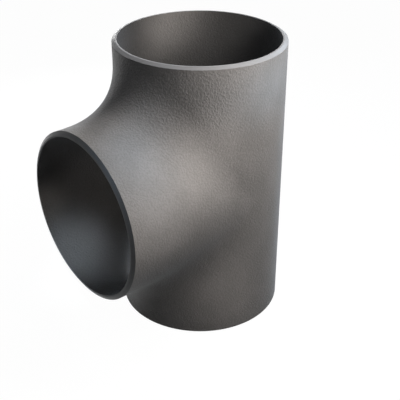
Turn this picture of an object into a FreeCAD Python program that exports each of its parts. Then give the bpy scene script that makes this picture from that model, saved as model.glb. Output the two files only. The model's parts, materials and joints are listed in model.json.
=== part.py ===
import FreeCAD, Part
import Sketcher
import math
import os

# Butt weld tee: one seamless steel forging whose three ends share one bore.
# Millimetres. The run stands on Z and the branch leaves along +X.
# The origin is where the two axes cross.

# Driving dimensions: name, value, what it is
SIZES = [
    ("outside_diameter", 165.2, "pipe outside diameter at all three ends"),
    ("wall_thickness", 5.0, "pipe wall at all three ends"),
    ("run_centre_to_end", 142.9, "axis crossing to either end of the run"),
    ("branch_centre_to_end", 142.9, "axis crossing to the end of the branch"),
    ("run_reach", 61.0, "how far the outer crotch runs up the run"),
    ("branch_reach", 66.0, "how far the outer crotch runs out along the branch"),
    ("crotch_tightness", 1.23, "1 is a round crotch, and more is nearer a corner"),
    ("bore_tightness", 1.08, "the same for the crotch in the bore"),
    ("crotch_extra_wall", 1.25, "metal in the crotch beyond the pipe wall"),
    ("bevel_angle", 30.0, "weld bevel, in degrees from the plane of the end"),
    ("root_face", 1.6, "flat left on the end between the bore and the bevel"),
]

# Values that follow from them: name, formula
DERIVED = [
    ("outer_radius", "outside_diameter / 2"),
    ("bore_radius", "outer_radius - wall_thickness"),
    ("outer_depth", "(run_reach + branch_reach) / 2 / (2 + sqrt(2) * crotch_tightness)"),
    ("bore_depth", "outer_depth + wall_thickness - (wall_thickness + crotch_extra_wall) / sqrt(2)"),
    ("bore_reach", "bore_depth * (2 + sqrt(2) * bore_tightness)"),
    ("longest_end", "max(run_centre_to_end; branch_centre_to_end)"),
    ("longest_reach", "outer_radius + max(run_reach; branch_reach; bore_reach)"),
    ("outer_length", "max(longest_end; longest_reach) + wall_thickness"),
    ("bore_length", "outer_length + wall_thickness"),
    ("land_radius", "bore_radius + root_face"),
    ("bevel_rim", "outer_radius + wall_thickness"),
    ("trim_rim", "2 * outer_radius"),
]

# A crotch's radius, reach up the run, reach out along the branch, and tightness
OUTER_CROTCH = ("outer_radius", "run_reach", "branch_reach", "crotch_tightness")
BORE_CROTCH = ("bore_radius", "bore_reach", "bore_reach", "bore_tightness")

# The three weld ends: name, turn from +Z in the plane of both axes, length
ENDS = [
    ("top_end", 0, "run_centre_to_end"),
    ("bottom_end", 180, "run_centre_to_end"),
    ("branch_end", -90, "branch_centre_to_end"),
]

NODE = "tee_body"
STEPS_ALONG = 16  # spans of a crotch's surface from one flank of the tee to the other
STEPS_ACROSS = 16  # spans of it from the run to the branch
JOIN = 0.1  # mm, gap that counts as closed where a crotch meets a round wall
RUN_SEAM = 135  # degrees from +X, puts the seam of the run's round walls behind the branch
ORIGIN = FreeCAD.Vector(0, 0, 0)
AXIS_Z = FreeCAD.Vector(0, 0, 1)


def fill_sheet(doc):
    """Each driving dimension as a plain number, then the values that follow."""
    sheet = doc.addObject("Spreadsheet::Sheet", "sizes")
    cells = [(name, str(value), meaning) for name, value, meaning in SIZES]
    cells += [(name, "=" + formula, name.replace("_", " ")) for name, formula in DERIVED]
    for row, (name, content, meaning) in enumerate(cells, start=1):
        sheet.set(f"A{row}", meaning)
        sheet.set(f"B{row}", content)
        sheet.setAlias(f"B{row}", name)
    doc.recompute()
    return sheet


def crotch_conic(radius, run_reach, branch_reach, tightness, angle):
    """Control points and weights of the conic across the crotch, at one place along it.

    The angle is 0 in the corner of the tee and 90 degrees on its flanks. The conic starts
    on the wall of the run, ends on that of the branch, and is tangent to both of them,
    because its middle point lies in both tangent planes. At tightness 1 and equal reaches
    it is the arc of a ball that rolls along the corner.
    """
    across, aside = math.cos(angle), math.sin(angle)
    reach = (run_reach + branch_reach) / 2
    fade = 1 + aside**2
    on_run = (radius * across, radius * aside, (radius + run_reach) * across)
    on_branch = ((radius + branch_reach) * across, radius * aside, radius * across)
    corner = (radius + reach - reach / fade) * across
    middle = (corner, (radius + reach - 2 * reach / fade) * aside, corner)
    weight = math.sqrt(fade / 2) * (1 + (tightness - 1) * across)
    return [FreeCAD.Vector(*point) for point in (on_run, middle, on_branch)], (1, weight, 1)


def point_on_conic(points, weights, share):
    """The conic's point at a share of its way from the run to the branch."""
    blend = ((1 - share) ** 2, 2 * share * (1 - share), share**2)
    pulls = [part * weight for part, weight in zip(blend, weights)]
    total = FreeCAD.Vector()
    for point, pull in zip(points, pulls):
        total += point * pull
    return total / sum(pulls)


def crotch_face(radius, run_reach, branch_reach, tightness):
    """The upper crotch from flank to flank, as a smooth surface through all its conics."""
    angles = [math.pi * (step / STEPS_ALONG - 0.5) for step in range(STEPS_ALONG + 1)]
    conics = [crotch_conic(radius, run_reach, branch_reach, tightness, a) for a in angles]
    shares = [step / STEPS_ACROSS for step in range(STEPS_ACROSS + 1)]
    surface = Part.BSplineSurface()
    surface.interpolate([[point_on_conic(*conic, share) for conic in conics] for share in shares])
    return surface.toShape().Faces[0]


def crotch_gussets(radius, run_reach, branch_reach, tightness):
    """The metal in both corners of the tee, each from its crotch face down to the Y axis."""
    face = crotch_face(radius, run_reach, branch_reach, tightness)
    skin = [face]
    for rim in face.Edges:
        if not rim.Degenerated:
            chord = Part.makeLine(*[vertex.Point for vertex in rim.Vertexes])
            skin.append(Part.Face(Part.Wire([rim, chord])))
    shell = Part.makeCompound(skin)
    shell.sewShape(JOIN)
    upper = Part.makeSolid(Part.Shell(shell.Faces))
    if upper.Volume < 0:
        upper.reverse()
    return Part.makeCompound([upper, upper.mirror(ORIGIN, AXIS_Z)])


def new_sketch(body, name, plane, turn):
    """A sketch on one of the body's own planes, turned about that plane's normal."""
    support = next(item for item in body.Origin.OriginFeatures if item.Role == plane)
    sketch = body.newObject("Sketcher::SketchObject", name)
    sketch.AttachmentSupport = [(support, "")]
    sketch.MapMode = "FlatFace"
    sketch.AttachmentOffset = FreeCAD.Placement(ORIGIN, FreeCAD.Rotation(AXIS_Z, turn))
    return sketch


def bind(sketch, name, alias, kind, *where):
    """A named dimension of the sketch that takes its value from the sheet."""
    value = float(sketch.Document.sizes.get(alias))
    if kind == "Angle":
        value = math.radians(value)
    index = sketch.addConstraint(Sketcher.Constraint(kind, *where, value))
    sketch.renameConstraint(index, name)
    sketch.setExpression("Constraints." + name, "sizes." + alias)


def finish(body, feature, adds_metal):
    """Make the feature the body's last, and stop if it works in the wrong direction."""
    before = body.Shape.Volume
    body.Tip = feature
    body.Document.recompute()
    if (body.Shape.Volume > before) != adds_metal:
        raise RuntimeError(feature.Name + " adds or cuts the wrong way")


def round_bar(body, name, plane, turn, radius, side_type, length):
    """A round bar along the plane's normal, with its seam turned away from the crotches."""
    sketch = new_sketch(body, name + "_circle", plane, turn)
    start = float(body.Document.sizes.get(radius))
    circle = sketch.addGeometry(Part.Circle(ORIGIN, AXIS_Z, start))
    sketch.addConstraint(Sketcher.Constraint("Coincident", circle, 3, -1, 1))
    bind(sketch, "radius", radius, "Radius", circle)
    pad = body.newObject("PartDesign::Pad", name)
    pad.Profile = sketch
    pad.SideType = side_type
    pad.FuzzyTolerance = JOIN
    pad.setExpression("Length", length)
    finish(body, pad, adds_metal=True)


def tee_form(doc, name, crotch, length):
    """A solid tee, longer than the finished one: two crotches, then the run and the branch."""
    gussets = doc.addObject("Part::Feature", name + "_crotches")
    gussets.Shape = crotch_gussets(*[float(doc.sizes.get(alias)) for alias in crotch])
    body = doc.addObject("PartDesign::Body", name)
    body.AllowCompound = True
    body.BaseFeature = gussets
    doc.recompute()
    round_bar(body, name + "_run", "XY_Plane", RUN_SEAM, crotch[0], "Symmetric", "2 * sizes." + length)
    round_bar(body, name + "_branch", "YZ_Plane", 0, crotch[0], "One side", "sizes." + length)
    return body


def hollow(body, core):
    """Take the core out of the body."""
    cut = body.newObject("PartDesign::Boolean", "bore")
    cut.Type = "Cut"
    cut.setObjects([core])
    finish(body, cut, adds_metal=False)


def closed_outline(sketch, corners):
    """Lines from corner to corner and back to the first, each joined to the next."""
    points = [FreeCAD.Vector(x, y, 0) for x, y in corners]
    for start, stop in zip(points, points[1:] + points[:1]):
        sketch.addGeometry(Part.LineSegment(start, stop))
    for line in range(len(points)):
        following = (line + 1) % len(points)
        sketch.addConstraint(Sketcher.Constraint("Coincident", line, 2, following, 1))


def end_profile(body, name, turn, length):
    """Outline, beside the axis of one end, of what is cut away there.

    It runs along the end plane over the root face, dips by the bevel, and goes on along
    the end plane.
    """
    sheet = body.Document.sizes
    aliases = (length, "land_radius", "bevel_rim", "trim_rim", "bore_length")
    end, land, rim, far, top = [float(sheet.get(alias)) for alias in aliases]
    dip = end - (rim - land) * math.tan(math.radians(sheet.get("bevel_angle")))
    corners = [(0, end), (land, end), (rim, dip), (rim, end), (far, end), (far, top), (0, top)]
    sketch = new_sketch(body, name + "_profile", "XZ_Plane", turn)
    closed_outline(sketch, corners)
    for kind, lines in (("Horizontal", (0, 3, 5)), ("Vertical", (2, 4, 6))):
        for line in lines:
            sketch.addConstraint(Sketcher.Constraint(kind, line))
    sketch.addConstraint(Sketcher.Constraint("PointOnObject", 0, 1, -2))
    sketch.addConstraint(Sketcher.Constraint("Horizontal", 0, 1, 3, 1))
    bind(sketch, "end", length, "DistanceY", -1, 1, 0, 1)
    bind(sketch, "top", "bore_length", "DistanceY", -1, 1, 5, 2)
    bind(sketch, "land", "land_radius", "DistanceX", -1, 1, 0, 2)
    bind(sketch, "rim", "bevel_rim", "DistanceX", -1, 1, 2, 1)
    bind(sketch, "far", "trim_rim", "DistanceX", -1, 1, 4, 1)
    bind(sketch, "bevel", "bevel_angle", "Angle", 1, 1, 3, 1)
    return sketch


def weld_end(body, name, turn, length):
    """Trim one end to its length and bevel it, which leaves the flat root face."""
    sketch = end_profile(body, name, turn, length)
    groove = body.newObject("PartDesign::Groove", name)
    groove.Profile = sketch
    groove.ReferenceAxis = (sketch, ["V_Axis"])
    groove.Angle = 360
    finish(body, groove, adds_metal=False)


def check(doc, body):
    """Stop if anything failed to compute or the tee isn't one sound solid."""
    failed = [o.Name for o in doc.Objects if {"Invalid", "Error"} & set(o.State)]
    if failed:
        raise RuntimeError("failed: " + ", ".join(failed))
    shape = body.Shape
    if shape.isNull() or not shape.isValid() or len(shape.Solids) != 1:
        raise RuntimeError(body.Label + " isn't one valid solid")


def main():
    doc = FreeCAD.newDocument("butt_weld_tee")
    fill_sheet(doc)
    tee = tee_form(doc, NODE, OUTER_CROTCH, "outer_length")
    hollow(tee, tee_form(doc, "bore_core", BORE_CROTCH, "bore_length"))
    for name, turn, length in ENDS:
        weld_end(tee, name, turn, length)
    check(doc, tee)
    os.makedirs("parts", exist_ok=True)
    tee.Shape.exportStep(os.path.join("parts", NODE + ".step"))
    print(f"{NODE}: {tee.Shape.Volume:.0f} mm3 in {len(tee.Shape.Faces)} faces")


main()
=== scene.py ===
import json
import math

import bpy
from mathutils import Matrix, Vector


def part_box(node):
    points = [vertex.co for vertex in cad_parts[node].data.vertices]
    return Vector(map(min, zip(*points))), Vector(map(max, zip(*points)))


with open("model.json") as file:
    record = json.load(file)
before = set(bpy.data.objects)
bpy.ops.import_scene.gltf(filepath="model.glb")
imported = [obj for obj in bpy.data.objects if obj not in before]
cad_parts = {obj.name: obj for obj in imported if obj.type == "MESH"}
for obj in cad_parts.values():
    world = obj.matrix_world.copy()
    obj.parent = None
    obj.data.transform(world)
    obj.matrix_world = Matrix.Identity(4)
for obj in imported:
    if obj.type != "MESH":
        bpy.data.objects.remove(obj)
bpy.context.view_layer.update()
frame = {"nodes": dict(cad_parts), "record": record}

# Metres, in the CAD's frame: the run stands along Z, the branch leaves along +X,
# and the origin is where their axes cross.
teeNode = "tee_body"
teeMiddle = (0.0, 0.0, 0.0)
mountOf = {mount["name"]: mount for mount in frame["record"]["mounts"]}
boreRadius = mountOf["run_bore"]["dims"]["r_mm"] / 1000
runEnd = mountOf["run_top_end"]["pos_m"][2]
branchEnd = mountOf["branch_end"]["pos_m"][0]
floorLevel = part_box(teeNode)[0][2]  # the tee stands on the run's lower end


# A short way to write a node graph
class Graph:
    def __init__(self, tree):
        self.tree = tree
        tree.nodes.clear()

    def node(self, kind, inputs=None, **settings):
        made = self.tree.nodes.new(kind)
        for name, value in settings.items():
            setattr(made, name, value)
        for name, value in (inputs or {}).items():
            self.feed(made, name, value)
        return made

    # Another node's output is linked, and a plain value is set
    def feed(self, made, name, value):
        if isinstance(value, bpy.types.NodeSocket):
            self.tree.links.new(value, made.inputs[name])
        else:
            made.inputs[name].default_value = value

    def math(self, operation, *values):
        inputs = dict(enumerate(values))
        return self.node("ShaderNodeMath", inputs, operation=operation).outputs[0]

    # A Mix node has its numbers in sockets 2 and 3, and its colours in 6 and 7
    def mixNumber(self, share, first, second):
        inputs = {0: share, 2: first, 3: second}
        return self.node("ShaderNodeMix", inputs).outputs[0]

    def mixColour(self, share, first, second):
        inputs = {0: share, 6: first, 7: second}
        return self.node("ShaderNodeMix", inputs, data_type="RGBA").outputs[2]

    def noise(self, place, size, detail=2.0):
        inputs = {"Vector": place, "Scale": 1 / size, "Detail": detail}
        return self.node("ShaderNodeTexNoise", inputs).outputs["Fac"]

    # Low to high becomes toLow to toHigh, and what lies beyond is held at those two
    def spread(self, value, low, high, toLow=0.0, toHigh=1.0):
        inputs = {"Value": value, "From Min": low, "From Max": high, "To Min": toLow, "To Max": toHigh}
        return self.node("ShaderNodeMapRange", inputs).outputs["Result"]

    def bump(self, height, distance, normal=None):
        made = self.node("ShaderNodeBump", {"Height": height, "Distance": distance, "Strength": 1.0})
        if normal:
            self.feed(made, "Normal", normal)
        return made.outputs["Normal"]


# The photograph's view: degrees, metres, and millimetres for the lens and the sensor
view = {
    "azimuth": 140.27,
    "elevation": 30.11,
    "distance": 0.8628,
    "aim": (0.0, 0.0, -0.0341),
    "lens": 74.6,
    "sensor": 36.0,
}


def makeCamera():
    azimuth = math.radians(view["azimuth"])
    elevation = math.radians(view["elevation"])
    back = Vector((
        math.sin(azimuth) * math.cos(elevation),
        -math.cos(azimuth) * math.cos(elevation),
        math.sin(elevation),
    ))
    data = bpy.data.cameras.new("photoView")
    data.sensor_width = view["sensor"]
    data.lens = view["lens"]
    camera = bpy.data.objects.new("photoView", data)
    camera.location = Vector(view["aim"]) + back * view["distance"]
    camera.rotation_euler = back.to_track_quat("Z", "Y").to_euler()
    bpy.context.scene.collection.objects.link(camera)
    bpy.context.scene.camera = camera


# The camera and reflections see the room as white. All other light from it is dim
room = {"dim": (0.012, 0.012, 0.012, 1), "white": (1, 1, 1, 1)}


# 1 for rays from the camera and for those that a surface mirrors or lets through
def seenDirectly(graph):
    path = graph.node("ShaderNodeLightPath").outputs
    mirrored = graph.math("MAXIMUM", path["Is Glossy Ray"], path["Is Transmission Ray"])
    return graph.math("MAXIMUM", path["Is Camera Ray"], mirrored)


def makeRoom():
    world = bpy.data.worlds.new("studio")
    bpy.context.scene.world = world
    world.use_nodes = True
    graph = Graph(world.node_tree)
    dim = graph.node("ShaderNodeBackground", {"Color": room["dim"]}).outputs[0]
    white = graph.node("ShaderNodeBackground", {"Color": room["white"]}).outputs[0]
    both = graph.node("ShaderNodeMixShader", {0: seenDirectly(graph), 1: dim, 2: white}).outputs[0]
    graph.node("ShaderNodeOutputWorld", {"Surface": both})


# The floor glows for them in the same way, and its own faint colour, which takes real
# light, is what shows the tee's shadow.
stage = {"size": 12.0, "colour": (0.04, 0.04, 0.04, 1), "glow": 0.98}


def makeFloor():
    bpy.ops.mesh.primitive_plane_add(size=stage["size"], location=(0, 0, floorLevel))
    floor = bpy.context.object
    floor.name = "studioFloor"
    material = bpy.data.materials.new("paleFloor")
    material.use_nodes = True
    graph = Graph(material.node_tree)
    matt = graph.node("ShaderNodeBsdfDiffuse", {"Color": stage["colour"]}).outputs[0]
    glow = graph.math("MULTIPLY", seenDirectly(graph), stage["glow"])
    white = graph.node("ShaderNodeEmission", {"Color": room["white"], "Strength": glow}).outputs[0]
    both = graph.node("ShaderNodeAddShader", {0: matt, 1: white}).outputs[0]
    graph.node("ShaderNodeOutputMaterial", {"Surface": both})
    floor.data.materials.append(material)


# Square panels, all aimed at the tee's middle: place, width, watts and colour.
# The last two light the half that the photograph hides.
panels = {
    "key": {"place": (-0.10, 0.18, 0.50), "size": 0.12, "power": 1.10, "colour": (1.0, 0.97, 0.94)},
    "fill": {"place": (-0.05, 0.23, 0.27), "size": 0.08, "power": 0.47, "colour": (1.0, 0.97, 0.94)},
    "low": {"place": (0.01, 0.32, 0.22), "size": 0.08, "power": 0.36, "colour": (1.0, 0.95, 0.90)},
    "far": {"place": (0.30, 0.52, 0.84), "size": 0.20, "power": 0.74, "colour": (0.80, 0.90, 1.0)},
    "edge": {"place": (-0.50, -0.10, 0.38), "size": 0.12, "power": 0.74, "colour": (0.66, 0.82, 1.0)},
    "back": {"place": (-0.26, -0.60, 0.16), "size": 0.20, "power": 1.4, "colour": (1.0, 0.98, 0.96)},
    "side": {"place": (0.08, -0.68, -0.06), "size": 0.20, "power": 0.42, "colour": (1.0, 0.98, 0.96)},
}

# Spots for soft glows on single places: where each stands and aims, degrees of cone,
# radius of the lamp, nominal watts (as of a lamp that shines all round) and colour
spots = {
    "topBore": {
        "place": (-0.10, 0.45, 0.50), "aim": (-0.024, -0.074, 0.139), "cone": 7.0,
        "size": 0.02, "power": 36.0, "colour": (1.0, 0.95, 0.90),
    },
    "branchBore": {
        "place": (0.40, 0.35, 0.45), "aim": (0.129, -0.041, -0.065), "cone": 7.8,
        "size": 0.02, "power": 26.0, "colour": (0.72, 0.86, 1.0),
    },
    "branchMouth": {
        "place": (0.48, 0.50, 0.10), "aim": (0.141, -0.076, -0.020), "cone": 4.4,
        "size": 0.01, "power": 6.0, "colour": (1.0, 0.92, 0.86),
    },
    "shoulder": {
        "place": (0.10, 0.16, 0.75), "aim": (0.112, 0.050, 0.070), "cone": 7.7,
        "size": 0.02, "power": 8.0, "colour": (0.45, 0.72, 1.0),
    },
    "centre": {
        "place": (0.06, 0.65, 0.26), "aim": (0.055, 0.065, 0.057), "cone": 9.2,
        "size": 0.02, "power": 7.0, "colour": (1.0, 0.95, 0.91),
    },
    "underside": {
        "place": (-0.25, 0.65, 0.20), "aim": (0.114, 0.076, 0.024), "cone": 7.7,
        "size": 0.02, "power": 7.2, "colour": (1.0, 0.95, 0.91),
    },
    "runFoot": {
        "place": (0.14, 0.70, 0.04), "aim": (0.032, 0.076, -0.098), "cone": 9.0,
        "size": 0.02, "power": 2.9, "colour": (1.0, 0.94, 0.90),
    },
    "topRight": {
        "place": (-0.34, 0.54, 0.20), "aim": (-0.014, 0.081, 0.116), "cone": 8.0,
        "size": 0.02, "power": 6.0, "colour": (0.38, 0.70, 1.0),
    },
}


def makePanel(name, panel):
    data = bpy.data.lights.new(name, "AREA")
    data.size = panel["size"]
    hangLamp(data, panel, teeMiddle)


def makeSpot(name, spot):
    data = bpy.data.lights.new(name, "SPOT")
    data.shadow_soft_size = spot["size"]
    data.spot_size = math.radians(spot["cone"])
    data.spot_blend = 1.0  # its light fades from the middle of the cone to the rim
    hangLamp(data, spot, spot["aim"])


def hangLamp(data, light, aim):
    data.energy = light["power"]
    data.color = light["colour"]
    lamp = bpy.data.objects.new(data.name, data)
    lamp.location = light["place"]
    way = Vector(aim) - lamp.location
    lamp.rotation_euler = way.to_track_quat("-Z", "Y").to_euler()
    lamp.visible_camera = False
    bpy.context.scene.collection.objects.link(lamp)


# Blasted steel. Colours are linear, and sizes and heights are metres. A range is the part
# of a noise, out of 0 to 1, that is put to use.
steel = {
    "darkColour": (0.195, 0.186, 0.180, 1),
    "lightColour": (0.240, 0.229, 0.222, 1),
    "toneRange": (0.38, 0.62),
    "waveTone": 0.5,  # how much of the tone is the slow wave, with the grain as the rest
    "paintedBoreShade": 0.31,  # how much of its colour the steel keeps in the bores, under their painted shade
    "metallic": 0.0,
    "specular": 0.15,
    "roughness": 0.58,
    "roughnessSpread": 0.10,
    "sheen": 0.18,
    "sheenRoughness": 0.40,
    "sheenTint": (0.70, 0.84, 1.0, 1),
    "grainSize": 0.0018,
    "grainHeight": 0.0005,
    "grainRange": (0.3, 0.7),
    "fineSize": 0.0007,
    "fineShare": 0.4,  # the height of the fine grain, beside 1 for the grain
    "waveSize": 0.030,
    "waveHeight": 0.00010,
    "pitSize": 0.006,
    "pitRange": (0.76, 0.80),
    "pitShare": 0.5,  # how much of its own colour a pit has
    "pitColour": (0.060, 0.056, 0.053, 1),
}

# The machined bevel and root face of each weld end, found by their place
weldEnd = {
    "colour": (0.225, 0.225, 0.23, 1),
    "roughness": 0.42,
    "smoothing": 0.96,  # how much of the grain's height is cut away
    "depth": 0.00196,  # how far in from the end plane the bevel begins
    "fade": 0.0002,  # how far the machined finish takes to come in
    "boreGap": 0.00005,  # how far it stays off the bore
}


# 1 on the machined part of each end, 0 elsewhere
def machinedRims(graph, place):
    x, y, z = graph.node("ShaderNodeSeparateXYZ", {"Vector": place}).outputs
    squares = [graph.math("POWER", axis, 2) for axis in (x, y, z)]
    ends = (
        (graph.math("ABSOLUTE", z), graph.math("ADD", squares[0], squares[1]), runEnd),
        (x, graph.math("ADD", squares[1], squares[2]), branchEnd),
    )
    masks = []
    for along, radiusSquared, end in ends:
        radius = graph.math("SQRT", radiusSquared)
        bevelStart = end - weldEnd["depth"]
        beyond = graph.spread(along, bevelStart - weldEnd["fade"], bevelStart)
        outside = graph.spread(radius, boreRadius + weldEnd["boreGap"], boreRadius + weldEnd["fade"])
        masks.append(graph.math("MULTIPLY", beyond, outside))
    return graph.math("MAXIMUM", *masks)


# 1 where the surface faces the tee's middle, as the bores do, 0 where it faces away. It masks the
# painted shade in the bores
def insideBore(graph, place):
    facing = graph.node("ShaderNodeTexCoord").outputs["Normal"]
    inputs = {0: place, 1: facing}
    along = graph.node("ShaderNodeVectorMath", inputs, operation="DOT_PRODUCT").outputs["Value"]
    return graph.math("LESS_THAN", along, 0.0)


def makeSteel():
    material = bpy.data.materials.new("blastedSteel")
    material.use_nodes = True
    graph = Graph(material.node_tree)
    place = graph.node("ShaderNodeTexCoord").outputs["Object"]
    grain = graph.noise(place, steel["grainSize"], detail=1.0)
    fine = graph.noise(place, steel["fineSize"])
    wave = graph.noise(place, steel["waveSize"], detail=3.0)
    pits = graph.spread(graph.noise(place, steel["pitSize"]), *steel["pitRange"])
    machined = machinedRims(graph, place)

    # Colour: slow drift of oxide, grains a little apart in tone, a few dark pits, and painted shade in
    # the bores
    slow = graph.math("MULTIPLY", wave, steel["waveTone"])
    quick = graph.math("MULTIPLY", grain, 1 - steel["waveTone"])
    tone = graph.spread(graph.math("ADD", slow, quick), *steel["toneRange"])
    oxide = graph.mixColour(tone, steel["darkColour"], steel["lightColour"])
    pitted = graph.mixColour(graph.math("MULTIPLY", pits, steel["pitShare"]), oxide, steel["pitColour"])
    black = (0, 0, 0, 1)
    # Painted shade: the bores are darkened in the colour itself, towards black
    paintedShade = graph.math("MULTIPLY", insideBore(graph, place), 1 - steel["paintedBoreShade"])
    withPaintedShade = graph.mixColour(paintedShade, pitted, black)
    colour = graph.mixColour(machined, withPaintedShade, weldEnd["colour"])

    # Roughness: a little up and down with the grain, and smoother where it is machined
    smoothest = steel["roughness"] - steel["roughnessSpread"]
    roughest = steel["roughness"] + steel["roughnessSpread"]
    blasted = graph.spread(grain, *steel["grainRange"], smoothest, roughest)
    roughness = graph.mixNumber(machined, blasted, weldEnd["roughness"])

    # Height: hollows left by the shot, on a forged surface that isn't quite even
    shot = graph.math("ADD", grain, graph.math("MULTIPLY", fine, steel["fineShare"]))
    kept = graph.math("SUBTRACT", 1.0, graph.math("MULTIPLY", machined, weldEnd["smoothing"]))
    uneven = graph.bump(wave, steel["waveHeight"])
    normal = graph.bump(graph.math("MULTIPLY", shot, kept), steel["grainHeight"], uneven)

    inputs = {
        "Base Color": colour,
        "Metallic": steel["metallic"],
        "Specular IOR Level": steel["specular"],
        "Roughness": roughness,
        "Sheen Weight": steel["sheen"],
        "Sheen Roughness": steel["sheenRoughness"],
        "Sheen Tint": steel["sheenTint"],
        "Normal": normal,
    }
    shader = graph.node("ShaderNodeBsdfPrincipled", inputs)
    graph.node("ShaderNodeOutputMaterial", {"Surface": shader.outputs[0]})
    return material


def dressTee():
    tee = frame["nodes"][teeNode]
    material = makeSteel()
    for slot in tee.material_slots:
        slot.material = material


makeCamera()
bpy.context.scene.view_settings.view_transform = "Standard"
print("camera done")

makeRoom()
makeFloor()
print("room and floor done")

for name, panel in panels.items():
    makePanel(name, panel)
for name, spot in spots.items():
    makeSpot(name, spot)
print("lights done:", len(panels), "panels and", len(spots), "spots")

dressTee()
print("steel done")
